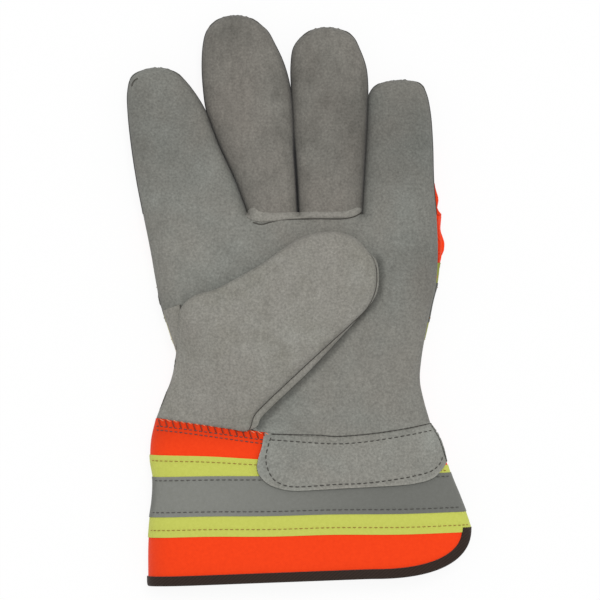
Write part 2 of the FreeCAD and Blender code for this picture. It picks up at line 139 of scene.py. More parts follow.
# Left and right edge of each finger, from the knuckles to the tip.
FINGERS = {
    "index": [((3.7, 65.2), (34.1, 65.2)), ((1.8, 71.2), (30.4, 71.2)), ((0.2, 77.7), (25.5, 77.7)),
              ((-0.7, 83.1), (22.1, 83.1)), ((-0.8, 86.6), (18.7, 86.6)), ((0.3, 89.2), (15.1, 89.2)),
              ((3.5, 90.5), (11.9, 90.5)), ((7.9, 91.0), (7.9, 91.0))],
    "middle": [((34.2, 65.2), (48.7, 65.2)), ((30.5, 71.2), (48.2, 71.2)), ((25.6, 77.7), (47.5, 77.7)),
               ((22.2, 83.1), (47.1, 83.1)), ((21.1, 87.7), (46.4, 87.7)), ((20.8, 91.9), (44.5, 91.9)),
               ((21.2, 95.2), (41.8, 95.4)), ((22.1, 97.3), (39.8, 97.5)), ((23.9, 98.7), (37.0, 98.9)),
               ((26.4, 99.7), (34.4, 99.8)), ((30.5, 100.2), (30.5, 100.2))],
    "ring": [((48.8, 65.2), (67.2, 65.2)), ((48.3, 71.2), (67.8, 71.2)), ((47.6, 77.7), (68.4, 77.7)),
             ((47.2, 83.1), (68.8, 83.1)), ((46.7, 87.7), (69.0, 87.7)), ((46.6, 91.2), (68.4, 91.2)),
             ((47.3, 94.4), (66.5, 94.4)), ((49.0, 96.0), (65.1, 96.1)), ((50.6, 96.8), (63.7, 96.9)),
             ((53.1, 97.7), (61.1, 97.7)), ((57.1, 98.1), (57.1, 98.1))],
    "little": [((67.3, 65.2), (88.9, 65.2)), ((67.9, 71.2), (88.1, 71.2)), ((68.5, 77.7), (87.8, 77.7)),
               ((68.9, 83.1), (87.1, 83.1)), ((69.3, 86.3), (86.0, 86.3)), ((70.9, 87.6), (84.7, 87.8)),
               ((72.6, 88.2), (82.9, 88.5)), ((77.5, 88.8), (77.5, 88.8))],
}
# The same for the hand, from the knuckles to the cuff, and on down the cuff's sides.
HAND = [((3.7, 65.2), (88.9, 65.2)), ((5.8, 58.9), (89.3, 58.9)), ((7.6, 52.7), (88.7, 52.7)),
        ((9.0, 48.7), (87.2, 48.7)), ((11.4, 43.9), (85.5, 43.4)), ((13.2, 40.1), (84.5, 39.6)),
        ((11.9, 36.4), (84.1, 36.0)), ((9.9, 32.7), (85.2, 32.5)), ((7.4, 29.3), (87.2, 28.3))]
CUFF_SIDES = [HAND[-1], ((6.0, 25.5), (89.8, 25.5)), ((5.8, 22.0), (91.5, 22.3)),
              ((6.7, 18.5), (93.1, 19.2)), ((6.5, 15.0), (95.6, 15.5)), ((5.7, 11.4), (98.0, 11.6)),
              ((5.2, 7.0), (100.2, 7.0)), ((5.2, 0.0), (102.4, 0.0)), ((5.2, -6.0), (104.6, -6.0))]

# Height of the palm side over the seams, depth of the back under them, and how far in
# from an edge the rounding reaches, at places along the glove.
RISE = [(41, 8.5), (14, 12.0), (-12, 12.5), (-36, 11.0), (-60, 9.6), (-134, 13.2)]
DROP = [(41, 7.4), (25, 6.0), (-50, 6.0), (-60, 5.5), (-134, 6.2)]
ROUNDING = [(44, 11.0), (10, 24.0), (-134, 26.0)]
EDGE_STEP = 0.12            # how finely the edges are searched



def finder(points):
    """A search tree that finds the nearest of the points to a place."""
    tree = kdtree.KDTree(len(points))
    for number, point in enumerate(points):
        tree.insert(point, number)
    tree.balance()
    return tree


edge_points, edge_owners = [], []
for owner, pairs in [*FINGERS.items(), ("hand", HAND), ("cuff", CUFF_SIDES)]:
    for line in two_sides(pairs, 10):
        for a, b in zip(line, line[1:]):
            parts = max(1, math.ceil((b - a).length / EDGE_STEP))
            edge_points += [a.lerp(b, number / parts) for number in range(parts)]
            edge_owners += [owner] * parts
edges = finder(edge_points)


def fullness(x, y):
    """0 at an edge of the glove's plan, 1 where the rounding from the edge ends."""
    depth = min(edges.find((x, y, 0.0))[2] / stepped(y, ROUNDING), 1.0)
    return (1 - (1 - depth) ** 2.3) ** (1 / 2.3)


def unevenness(x, y):
    """The slow waves of soft leather that lies loose, within about half a millimetre."""
    return (0.45 * noise.noise(Vector((x / 26, y / 26, 3.1)))
            + 0.22 * noise.noise(Vector((x / 11, y / 11, 8.7))))


def palm_height(x, y):
    full = fullness(x, y)
    return SEAM + full * (stepped(y, RISE) + unevenness(x, y))


def back_height(x, y):
    return max(SEAM - stepped(y, DROP) * fullness(x, y), 0.0)


def crowded(share):
    """A share of the way across that moves slower near both ends."""
    return (1 - math.cos(math.pi * share)) / 2


def across_rows(left, right, columns, height):
    """Rows of points from the left edge to the right one, closer together at the edges."""
    rows = []
    for a, b in zip(left, right):
        row = []
        for column in range(columns + 1):
            place = a.lerp(b, crowded(column / columns))
            row.append(Vector((place.x, place.y, height(place.x, place.y))))
        row[0].z = row[-1].z = SEAM
        rows.append(row)
    return rows


def piece_of(name, mesh, material, thickness=0, angle=50):
    """An object of the mesh, thickened under its face, and smooth up to an angle."""
    piece = bpy.data.objects.new(name, mesh)
    bpy.context.collection.objects.link(piece)
    mesh.materials.append(material)
    bpy.context.view_layer.objects.active = piece
    piece.select_set(True)
    if thickness:
        wall = piece.modifiers.new("thickness", "SOLIDIFY")
        wall.thickness = thickness * MM
        wall.offset = -1.0
        wall.thickness_clamp = 1.0
        bpy.ops.object.modifier_apply(modifier=wall.name)
    bpy.ops.object.shade_smooth_by_angle(angle=math.radians(angle))
    piece.select_set(False)
    return piece


def panel(name, rows, thickness, material, up=True, shade=None, closed=False):
    """Sews rows of points into one smooth panel, `thickness` thick under its face.

    up says that the face looks up. shade(x, y, z) darkens or lightens it, and closed
    joins each row's end to its start. The UV map runs along the cloth, in metres.
    """
    mesh = bpy.data.meshes.new(name)
    width = len(rows[0])
    faces = []
    for r in range(len(rows) - 1):
        for c in range(width if closed else width - 1):
            d = (c + 1) % width
            faces.append((r * width + c, r * width + d, (r + 1) * width + d, (r + 1) * width + c))
    flat = [point for row in rows for point in row]
    mesh.from_pydata([point * MM for point in flat], [], faces)
    lengths = []
    for r, row in enumerate(rows):
        across = 0.0
        for c, point in enumerate(row):
            across += (point - row[c - 1]).length if c else 0.0
            along = lengths[-width].y + (point - rows[r - 1][c]).length if r else 0.0
            lengths.append(Vector((across, along)))
    cloth = mesh.uv_layers.new(name="cloth")
    for loop in mesh.loops:
        cloth.data[loop.index].uv = lengths[loop.vertex_index] * MM
    tone = mesh.attributes.new("tone", "FLOAT", "POINT")
    for number, point in enumerate(flat):
        tone.data[number].value = shade(*point) if shade else 1.0
    sewn = bmesh.new()
    sewn.from_mesh(mesh)
    bmesh.ops.remove_doubles(sewn, verts=sewn.verts, dist=CLOSEST * MM)
    bmesh.ops.recalc_face_normals(sewn, faces=sewn.faces)
    sewn.normal_update()
    upward = sum(face.normal.z * face.calc_area() for face in sewn.faces)
    if not closed and (upward > 0) != up:
        bmesh.ops.reverse_faces(sewn, faces=sewn.faces)
    sewn.to_mesh(mesh)
    sewn.free()
    return piece_of(name, mesh, material, thickness)


def colour(code):
    """An sRGB hex colour as linear red, green, blue and alpha."""
    parts = [int(code[place:place + 2], 16) / 255 for place in (1, 3, 5)]
    return (*[p / 12.92 if p <= 0.04045 else ((p + 0.055) / 1.055) ** 2.4 for p in parts], 1.0)


def add(tree, kind, inputs={}, **properties):
    """Adds a shader node, sets its properties, and sets or links its inputs."""
    made = tree.nodes.new("ShaderNode" + kind)
    for name, value in properties.items():
        setattr(made, name, value)
    for name, value in inputs.items():
        if isinstance(value, bpy.types.NodeSocket):
            tree.links.new(value, made.inputs[name])
        else:
            made.inputs[name].default_value = value
    return made


def grain(tree, place, size, detail, roughness=0.5):
    """Noise with clouds about `size` millimetres wide."""
    return add(tree, "TexNoise", {"Vector": place, "Scale": 1 / (size * MM), "Detail": detail,
                                  "Roughness": roughness}).outputs[0]


def ranged(tree, value, low, high, first, last):
    """first where the value is low, last where it is high, and straight between them."""
    return add(tree, "MapRange", {0: value, 1: low, 2: high, 3: first, 4: last}).outputs[0]


def mixed(tree, share, first, last):
    """A colour between two, each a hex colour or another node's."""
    ends = [colour(end) if isinstance(end, str) else end for end in (first, last)]
    return add(tree, "Mix", {0: share, 6: ends[0], 7: ends[1]}, data_type="RGBA").outputs[2]


def product(tree, first, last, kind="Math"):
    return add(tree, kind, {0: first, 1: last}, operation="MULTIPLY").outputs[0]


def toned(tree, shade, level=1.0):
    """The colour, at a level, and darker or lighter by the mesh's own tone."""
    tone_level = product(tree, level, add(tree, "Attribute", attribute_name="tone").outputs["Fac"])
    return product(tree, shade, tone_level, "VectorMath")


def bumped(tree, shader, *layers):
    """Gives the shader relief, from (height, strength, depth in millimetres) layers."""
    below = {}
    for height, strength, depth in layers:
        made = add(tree, "Bump", {"Height": height, "Strength": strength, "Distance": depth * MM, **below})
        below = {"Normal": made.outputs[0]}
    tree.links.new(made.outputs[0], shader.inputs["Normal"])


def material(name, roughness, sheen=0.0, specular=0.3):
    """A new material with its shader, that shader's tree, and places on the object."""
    made = bpy.data.materials.new(name)
    made.use_nodes = True
    shader = made.node_tree.nodes["Principled BSDF"]
    shader.inputs["Roughness"].default_value = roughness
    shader.inputs["Sheen Weight"].default_value = sheen
    shader.inputs["Sheen Roughness"].default_value = 0.5
    shader.inputs["Specular IOR Level"].default_value = specular
    return made, shader, made.node_tree, add(made.node_tree, "TexCoord").outputs["Object"]


def suede(name, face, dark, warm, streaks):
    """Split cowhide, buffed: a matt nap with fine fibres, cloudy dye and browner patches."""
    made, shader, tree, place = material(name, 0.95, sheen=0.12, specular=0.12)
    nap = grain(tree, place, 1.1, 3.0, 0.7)
    clouds = grain(tree, place, 14, 5.0, 0.62)
    patches = grain(tree, place, 34, 2.0)
    stretched = add(tree, "Mapping", {"Vector": place, "Scale": (1.0, 0.4, 1.0),
                                      "Rotation": (0.0, 0.0, 0.06)}).outputs[0]
    fibres = grain(tree, stretched, 3.2, 4.0, 0.6)
    base = mixed(tree, ranged(tree, clouds, 0.3, 0.7, 0.0, 1.0), dark, face)
    tinted = mixed(tree, ranged(tree, patches, 0.35, 0.7, 0.0, 1.0), base, warm)
    level = product(tree, ranged(tree, nap, 0.25, 0.75, 0.71, 1.29),
                    ranged(tree, fibres, 0.3, 0.7, 1 - streaks, 1 + streaks))
    tree.links.new(toned(tree, tinted, level), shader.inputs["Base Color"])
    bumped(tree, shader, (nap, 0.35, 0.25), (clouds, 0.25, 1.0))
    return made


grey_suede = suede("grey_split_suede", "#8B8D87", "#7A7B75", "#84827B", 0.05)
warm_suede = suede("brown_grey_split_suede", "#83817A", "#6C6A64", "#7D7972", 0.10)
pale_suede = suede("pale_split_suede", "#96958E", "#848279", "#8D8A83", 0.06)


def bending(piece):
    """Applies the piece's transform to its mesh."""
    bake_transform(piece)


# The thumb's outline: lower and upper edge, and how high each lies over the palm in
# millimetres. The palm carries painted shade along it, so the outline comes first.
THUMB = [((7.6, 29.4), (7.6, 29.4), 0.0, 0.0), ((13.9, 28.8), (9.7, 32.7), 0.0, 0.0),
         ((21.8, 28.15), (12.1, 36.6), 0.2, 0.0), ((29.0, 27.5), (13.3, 40.8), 0.6, 0.2),
         ((34.1, 27.2), (13.9, 44.8), 1.4, 0.8), ((36.0, 29.9), (14.7, 48.5), 2.2, 1.8),
         ((40.0, 32.5), (18.3, 50.7), 2.8, 2.2), ((45.2, 35.5), (24.9, 52.0), 3.4, 2.5),
         ((51.0, 38.8), (31.3, 54.0), 3.9, 2.7), ((58.0, 42.7), (38.0, 56.3), 4.2, 2.8),
         ((64.4, 46.2), (44.4, 59.1), 4.2, 3.0), ((68.7, 48.9), (50.7, 61.3), 4.1, 3.1),
         ((70.9, 51.9), (58.0, 62.1), 3.9, 3.3), ((71.2, 55.0), (63.8, 61.4), 3.8, 3.4),
         ((70.6, 56.8), (66.7, 60.2), 3.7, 3.5), ((69.0, 58.5), (69.0, 58.5), 3.6, 3.6)]
WING_ROWS = 4               # spans of that list which belong to the wing
THUMB_STEPS = 9
STRIP = 3.4                 # how far the thumb's back stands out past its lower seam

thumb_low, thumb_high = two_sides([(low, high) for low, high, a, b in THUMB], THUMB_STEPS)


def strip_out(number):
    """How far, and which way, the thumb's back stands out at a row of its lower edge."""
    ahead = thumb_low[min(number + 1, len(thumb_low) - 1)] - thumb_low[max(number - 1, 0)]
    spans = number / THUMB_STEPS
    wide = STRIP * eased(4.0, 4.6, spans) * (1 - eased(7.5, 11.0, spans))
    wide += 1.3 * eased(10.5, 12.0, spans) * (1 - eased(14.0, 15.0, spans))
    return Vector((ahead.y, -ahead.x, 0.0)).normalized() * wide


# Lines along the thumb's edges: the palm has a painted shadow just past the lower one and painted shade
# beside the upper one.
shadow_foot_line = finder([point + strip_out(number) * 1.2 for number, point in enumerate(thumb_low)])
shade_crown_line = finder(thumb_high)

# The dye took unevenly: places, how far each reaches and how much darker it is.
DYE = [((8.0, 80.0), 46.0, 0.15), ((3.0, 85.2), 8.0, 0.06), ((79.0, 79.0), 46.0, 0.24),
       ((86.0, 56.0), 34.0, 0.17), ((31.0, 98.0), 22.0, 0.16), ((57.0, 86.0), 30.0, 0.07),
       ((16.0, 57.0), 24.0, -0.06), ((62.0, 31.0), 34.0, -0.04), ((43.0, 66.0), 16.0, -0.03)]


def palm_shade_and_dye(x, y, z):
    """Painted shade, darker in the seams, the slits and around the thumb, and uneven dye, darker at the
    tips.
    """
    depth = edges.find((x, y, 0.0))[2]
    # Painted shade: darker towards the edges, where the leather turns under to the seams.
    tone = 1.0 - 0.12 * (1 - eased(0.0, 2.4, depth)) - 0.04 * (1 - eased(3.0, 12.0, depth))
    # Painted shade in the slits between fingers, deepest in the gaping slit between the middle and ring
    # fingers.
    if y > 36:
        near = {edge_owners[found[1]] for found in edges.find_range((x, y, 0.0), 1.3)} - {"hand"}
        if len(near) > 1:
            gaping = eased(80.0, 68.0, y) if near == {"middle", "ring"} else 0.0
            open_to = eased(0.1 + 0.15 * gaping, 0.5 + 0.5 * gaping, depth)
            tone *= 1 - (0.22 + 0.7 * gaping) * (1 - open_to)
    # Painted shadow on the palm just past the thumb's lower edge and its pale strip.
    number, away = shadow_foot_line.find((x, y, 0.0))[1:]
    if number > WING_ROWS * THUMB_STEPS + 3:
        tone *= 1 - 0.44 * (1 - eased(0.9, 3.6, away)) * (1 - eased(125.0, 132.0, number))
    # Painted shade on the palm beside the thumb's upper edge.
    number, away = shade_crown_line.find((x, y, 0.0))[1:]
    tone *= 1 - 0.07 * (1 - eased(1.0, 11.0, away)) * eased(30.0, 50.0, number)
    for place, reach, darker in DYE:
        away = (Vector((x, y, 0.0)) - spot(*place)).length
        tone *= 1 - darker * (1 - eased(0.15, 1.0, away / reach))
    return tone


WING_LOW = 1.9              # how far the palm lies under the wing that covers its corner
WRIST_LEFT, WRIST_RIGHT = spot(*HAND[-1][0]), spot(*HAND[-1][1])
WRIST_SAG = 6.8             # how far the seam between hand and cuff sags between its ends
WRIST_LEAN = 1.35           # 1 sags most in the middle, and more sags most to the right


def wrist_share(x):
    return min(max((x - WRIST_LEFT.x) / (WRIST_RIGHT.x - WRIST_LEFT.x), 0.0), 1.0)


def wrist_sag(x):
    return WRIST_SAG * math.sin(math.pi * wrist_share(x) ** WRIST_LEAN)


def wrist_seam(x):
    """How far along the glove the seam between hand and cuff is."""
    return WRIST_LEFT.y + (WRIST_RIGHT.y - WRIST_LEFT.y) * wrist_share(x) - wrist_sag(x)


def palm_under_wing(x, y):
    """Height of the palm leather, lower under the wing and raised where it laps the cuff."""
    low = eased(-16, -30, x) * eased(-4, -14, y)
    lapped = 0.9 * (1 - eased(0.0, 4.0, y - wrist_seam(x))) * (1 - low) if y < -50 else 0.0
    return palm_height(x, y) - WING_LOW * low + lapped * fullness(x, y)


def inset_hand(pairs):
    """The hand's edges, with the left one drawn in under the wing."""
    drawn = []
    for (left, along), (right, right_along) in pairs:
        tuck = 1.6 * (1 - eased(43.0, 47.0, along))
        drawn.append(((left + tuck, along), (right, right_along)))
    return drawn


def sag(rows, height, short=0.0):
    """Lets the rows near the wrist follow its seam, `short` of it on the wing's side."""
    for row in rows:
        reach = eased(-34.0, WRIST_LEFT.y, row[len(row) // 2].y)
        for point in row[1:-1]:
            point.y -= (wrist_sag(point.x) - short * (1 - eased(-28.0, -20.0, point.x))) * reach
            point.z = height(point.x, point.y)
    return rows


palm_rows = across_rows(*two_sides(inset_hand(HAND), 14), 150, palm_under_wing)
sag(palm_rows, palm_under_wing, short=1.4)
for row in palm_rows:
    if row[0].y < -5:
        row[0].z = palm_under_wing(row[0].x, row[0].y)
palm = panel("palm", palm_rows, LEATHER, grey_suede, shade=palm_shade_and_dye)
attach(palm, "hand")
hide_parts("palm_leather")

TOUCHING = 0.22             # what each finger's edge is let out, so that neighbours meet
for finger, pairs in FINGERS.items():
    leather = grey_suede if finger in ("index", "little") else warm_suede
    left, right = two_sides(pairs, 10)
    for a, b in zip(left, right):
        grown = min(TOUCHING, (b.x - a.x) / 4)
        a.x -= grown
        b.x += grown
    rows = across_rows(left, right, 44, palm_height)
    front = panel(f"{finger}_palm_side", rows, LEATHER, leather, shade=palm_shade_and_dye)
    bending(front)
    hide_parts(f"{finger}_front")


# ------------------------------------------------------------ crotch seam
# The bottoms of the middle and ring fronts are sewn across the palm with the cut edge
# rolled under, so a soft welt runs from the index finger's crotch to the little
# finger's. It is widest where three pieces meet at the index finger's side.

WELT_LINE = [((33.9, 65.6), 4.2), ((36.6, 64.6), 3.9), ((40.0, 64.4), 3.2), ((46.0, 64.7), 2.5),
             ((52.0, 64.85), 2.3), ((59.0, 64.85), 2.3), ((64.0, 65.1), 2.5), ((67.2, 66.0), 2.4)]


def welt(name, stops, material, lift, steps=12, sides=18):
    """A soft roll along a line on the palm, as (place, width) stops."""
    centre = smooth_line([spot(*place) for place, width in stops], steps)
    widths = smooth_line([Vector((width, 0.0, 0.0)) for place, width in stops], steps)
    rows = []
    for number, point in enumerate(centre):
        run = (centre[min(number + 1, len(centre) - 1)] - centre[max(number - 1, 0)]).normalized()
        side = Vector((-run.y, run.x, 0.0))
        half = widths[number].x / 2
        close = min(number, len(centre) - 1 - number) / 4
        half *= min(1.0, 0.25 + 0.75 * close ** 0.5) if close < 1 else 1.0
        row = []
        for turn in range(sides):
            angle = 2 * math.pi * turn / sides
            rise, towards_tips = math.sin(angle), math.cos(angle) > 0
            out = point + side * (half * math.cos(angle) * (1.7 if towards_tips else 1.0))
            if rise > 0:
                rise = rise ** (1.6 if towards_tips else 0.7)
            out.z = palm_height(out.x, out.y) + lift * max(rise, -0.4)
            row.append(out)
        rows.append(row)
    return panel(name, rows, 0, material, closed=True)


fold = welt("crotch_welt", WELT_LINE, pale_suede, 1.05)
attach(fold, "hand")
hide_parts("finger_seam_fold")


def laid(places, steps, height):
    """A smooth line through places on the plan, at the height that each point has."""
    return [Vector((p.x, p.y, height(p.x, p.y)))
            for p in smooth_line([spot(*place) for place in places], steps)]


def cord(name, line, radius, material, sides=6):
    """A thin round thread along a line."""
    rows = []
    for number, point in enumerate(line):
        run = (line[min(number + 1, len(line) - 1)] - line[max(number - 1, 0)]).normalized()
        side = run.cross(Vector((0.0, 0.0, 1.0))).normalized()
        up = side.cross(run)
        thick = radius * (0.35 if number in (0, len(line) - 1) else 1.0)
        rows.append([point + (side * math.cos(a) + up * math.sin(a)) * thick
                     for a in [2 * math.pi * turn / sides for turn in range(sides)]])
    return panel(name, rows, 0, material, closed=True)


def thread(name, face, dark):
    """Bonded polyester sewing thread: tight twist, slightly glossy."""
    made, shader, tree, place = material(name, 0.6, specular=0.3)
    twist = grain(tree, place, 0.9, 2.0)
    tree.links.new(mixed(tree, twist, dark, face), shader.inputs["Base Color"])
    bumped(tree, shader, (twist, 0.4, 0.1))
    return made


# Dark seam thread, also used as painted shade: the cords under the welt and in the index tip's pucker
# stand in for shadow.
seam_thread_and_shade = thread("dark_seam_thread_and_painted_shade", "#524F49", "#3C3A35")

# The seam under the welt, which sinks in towards the index finger: a dark cord that is both the seam and
# the painted shadow under the welt's overhang.
WELT_SEAM = [(35.6, 63.7), (38.0, 63.35), (40.8, 63.75), (43.4, 64.2), (47.5, 64.3), (55.4, 64.4),
             (61.5, 64.4), (65.0, 64.8), (67.1, 65.5)]
welt_seam_line = laid(WELT_SEAM, 8, lambda x, y: palm_height(x, y) + 0.12 - 0.3 * eased(-4.0, -14.0, x))
welt_seam = cord("crotch_seam_and_shadow", welt_seam_line, 0.42, seam_thread_and_shade)
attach(welt_seam, "hand")

# A small pucker where the index finger's tip was turned out, drawn as a dark cord that is painted shade in
# its crease.
PUCKER = [(2.3, 89.0), (1.5, 88.75), (0.9, 88.3), (0.5, 87.6)]
pucker_line = laid(PUCKER, 6, lambda x, y: palm_height(x, y) + 0.1)
pucker = cord("index_tip_pucker_shade", pucker_line, 0.38, seam_thread_and_shade)
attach(pucker, "index")


# ------------------------------------------------------------ thumb and wing
# The wing over the palm's corner and the front of the thumb are one piece of leather,
# sewn into the cuff's seam below. The thumb's back is a second piece, which stands out
# as a paler strip past the seam on the thumb's lower edge.

CROWN = 5.4                 # how far the thumb's front swells over its seams
ROLL = 6.4                  # from the upper edge to the crease beside its rolled edge
THUMB_ROUNDING = 13.0       # how far in from its edges the thumb is rounded

thumb_lifts = smooth_line([Vector((a, b, 0.0)) for low, high, a, b in THUMB], THUMB_STEPS)
thumb_rim = finder([a.lerp(b, number / 8) for line in (thumb_low, thumb_high)
                    for a, b in zip(line, line[1:]) for number in range(8)])


def thumb_blend(piece):
    """Applies the piece's transform to its mesh."""
    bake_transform(piece)


def thumb_place(number, share, swell):
    """A point of the thumb's front: row number, share of the way up, and its swelling."""
    low, high = thumb_low[number], thumb_high[number]
    place = low.lerp(high, share)
    spans = number / THUMB_STEPS
    lift = thumb_lifts[number].x + (thumb_lifts[number].y - thumb_lifts[number].x) * share
    depth = thumb_rim.find((place.x, place.y, 0.0))[2]
    full = 1 - min(depth / THUMB_ROUNDING, 1.0)
    full = (1 - full ** 2.2) ** (1 / 2.2)
    crease = math.exp(-(((place - high).length - ROLL) / 1.5) ** 2)
    crease *= eased(4, 6, spans) * (1 - eased(10, 12.5, spans))
    height = max(palm_height(place.x, place.y), SEAM) + lift + swell * full - 0.9 * crease
    height += 0.5 * noise.noise(Vector((place.x / 19, place.y / 19, 5.5))) * full
    return Vector((place.x, place.y, height))


def thumb_seam_shade(x, y, z):
    """Painted shade: a little darker along the thumb's seams."""
    return 1.0 - 0.10 * (1 - eased(0.0, 1.6, thumb_rim.find((x, y, 0.0))[2]))


def thumb_rows(first, last, columns=60):
    """Rows up the thumb's front, which swells more and more from the wing to the thumb."""
    rows = []
    for number in range(first, last + 1):
        swell = CROWN * (0.30 + 0.70 * eased(1.5, 6, number / THUMB_STEPS))
        rows.append([thumb_place(number, crowded(c / columns), swell) for c in range(columns + 1)])
    return rows


parting = WING_ROWS * THUMB_STEPS
wing_rows = thumb_rows(0, parting)
for row in wing_rows:
    row[-1].z = SEAM + 0.4
wing = panel("thumb_wing_leather", wing_rows, LEATHER, pale_suede, shade=thumb_seam_shade)
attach(wing, "hand")
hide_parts("thumb_wing")

outer_rows = thumb_rows(parting, len(thumb_low) - 1)
outer = panel("thumb_palm_side", outer_rows, LEATHER, pale_suede, shade=thumb_seam_shade)
thumb_blend(outer)
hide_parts("thumb_front")

# The back turns out past the lower seam, down, and in again over the palm.
TURN_OUT = ((0.45, 0.1), (0.8, 0.9), (1.0, 1.9), (0.9, 2.9))
UNDER_SEAM = Vector((0.0, 0.0, -0.4))
under_rows = []
for number in range(parting, len(thumb_low)):
    low, high = thumb_low[number], thumb_high[number]
    out = strip_out(number)
    seam, upper_seam = thumb_place(number, 0.0, CROWN), thumb_place(number, 1.0, CROWN)
    row = [seam + UNDER_SEAM]
    for reach, drop in TURN_OUT:
        point = low + out * reach
        floor_level = palm_height(point.x, point.y) + 0.55
        row.append(Vector((point.x, point.y, max(seam.z - drop, floor_level))))
    for column in range(1, 24):
        place = low.lerp(high, column / 24)
        row.append(Vector((place.x, place.y, palm_height(place.x, place.y) + 0.5)))
    row.append(upper_seam + UNDER_SEAM)
    under_rows.append(row)
under = panel("thumb_back_side", under_rows, 0, pale_suede, up=False)
thumb_blend(under)
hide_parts("thumb_back")

seam_line = [thumb_place(number, 0.0, CROWN) + Vector((0.0, 0.0, -0.15))
             for number in range(parting, len(thumb_low) - 12)]
thumb_seam = cord("thumb_seam", seam_line, 0.42, seam_thread_and_shade)
thumb_blend(thumb_seam)

# The small gusset in the thumb's crotch, at the glove's edge.
GUSSET = [((9.4, 48.2), (14.5, 49.3)), ((10.5, 46.2), (14.7, 47.5)), ((11.9, 43.8), (14.1, 44.8)),
          ((13.2, 41.3), (13.4, 41.8))]
gusset_rows = across_rows(*two_sides(GUSSET, 8), 14, lambda x, y: palm_height(x, y) + 0.7)
for row in gusset_rows:
    row[-1].z = palm_height(row[-1].x, row[-1].y) + 0.2
gusset = panel("thumb_gusset_leather", gusset_rows, 1.0, pale_suede)
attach(gusset, "hand")
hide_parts("thumb_gusset")

gusset_edge = [place + Vector((0.3, 0.0, palm_height(place.x, place.y) + 0.25))
               for place in two_sides(GUSSET, 8)[1]]
gusset_seam = cord("gusset_seam", gusset_edge, 0.4, seam_thread_and_shade)
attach(gusset_seam, "hand")


# ------------------------------------------------------------ back of the hand
# Fluorescent orange cotton drill, sewn along the seams to the palm. It is gathered by
# an elastic at the wrist and stands out past the leather in two loose folds beside
# the little finger. The index finger's back is leather; the others are cloth with
# leather caps over the fingertips.


def cloth(name, face, dark, thread):
    """A plain woven cloth: threads over and under each other, in slow soft creases."""
    made, shader, tree, solid = material(name, 0.85, sheen=0.1, specular=0.2)
    place = add(tree, "UVMap", uv_map="cloth").outputs[0]
    split = add(tree, "SeparateXYZ", {0: place})
    waves = []
    for axis in (0, 1):
        run = product(tree, split.outputs[axis], 2 * math.pi / (thread * MM))
        waves.append(add(tree, "Math", {0: run}, operation="SINE").outputs[0])
    slub = grain(tree, solid, 1.6, 3.0, 0.7)
    raised = add(tree, "Math", {0: product(tree, *waves), 1: 0.25, 2: slub},
                 operation="MULTIPLY_ADD").outputs[0]
    level = ranged(tree, raised, 0.1, 0.9, 0.0, 1.0)
    tree.links.new(toned(tree, mixed(tree, level, dark, face)), shader.inputs["Base Color"])
    bumped(tree, shader, (raised, 0.3, 0.15), (grain(tree, solid, 22, 3.0), 0.35, 2.0))
    return made


# Threads are 0.35 mm apart in such drill; they are drawn at 0.8 mm so that they show.
orange = cloth("fluorescent_orange_drill", "#FE4610", "#F13A07", 0.8)
lime = cloth("fluorescent_lime_tape", "#CDD364", "#BFC556", 0.7)
silver = cloth("retroreflective_silver_tape", "#80817C", "#757670", 0.5)

# How far the cloth stands out past the leather's right edge, at places along it.
BULGE = [(58.0, 0.0), (54.0, 1.1), (47.5, 2.2), (43.0, 1.2), (40.4, 3.0), (33.4, 2.2), (26.5, 3.8),
         (24.0, 3.6), (19.7, 2.2), (15.0, 1.3), (8.0, 1.1), (2.0, 0.7), (-9.5, 0.9), (-17.0, 0.7),
         (-20.0, 0.0)]


def gather(x, y):
    """Shirring at the wrist: small folds along the hand, deepest at the elastic."""
    close = 1 - eased(4.0, 26.0, abs(y + 30))
    return 0.45 * close * math.sin(x / 0.9 + 1.5 * noise.noise(Vector((x / 9, y / 14, 1.0))))


def back_cloth_height(x, y):
    """Height of the back's cloth, a little off the table but for the fingers."""
    return max(back_height(x, y) + gather(x, y), 0.55 if y < 30 else 0.0)


def loose_rows(left, right, columns, height):
    """Back rows whose right end bellies out past the leather before it turns up to it."""
    rows = across_rows([a + Vector((0.5, 0.0, 0.0)) for a in left],
                       [b - Vector((0.5, 0.0, 0.0)) for b in right], columns, height)
    for row in rows:
        out = stepped(row[-1].y, BULGE)
        end = row[-1].copy()
        if out > 0.05:
            for point in row:
                point.x += out * eased(10.0, 0.0, end.x - point.x)
            row[-1].z = SEAM - 2.2
            turned_up = ((0.93, -1.1), (0.70, -0.35), (0.0, 0.1))
        else:
            row[-1].z = SEAM - 0.6
            turned_up = ((0.0, -0.4), (0.0, -0.2), (0.0, 0.0))
        row += [end + Vector((out * share, 0.0, rise)) for share, rise in turned_up]
    return rows


def back_fold_shade(x, y, z):
    """Painted shade: darker where the folds turn in to the seam beside the little finger."""
    if x < 20 or z < SEAM - 2.0:
        return 1.0
    return 0.72 + 0.28 * eased(0.2, 1.6, edges.find((x, y, 0.0))[2])


def back_tape_shade(x, y, z):
    """Painted shade: darker where the tape turns up to the seam beside the little finger."""
    return 0.5 if x > 20 and z > SEAM - 2.8 else 1.0


back_rows = sag(loose_rows(*two_sides(HAND, 12), 110, back_cloth_height), back_cloth_height)
back = panel("back_cloth", back_rows, DRILL, orange, up=False, shade=back_fold_shade)
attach(back, "hand")
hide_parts("back_fabric")

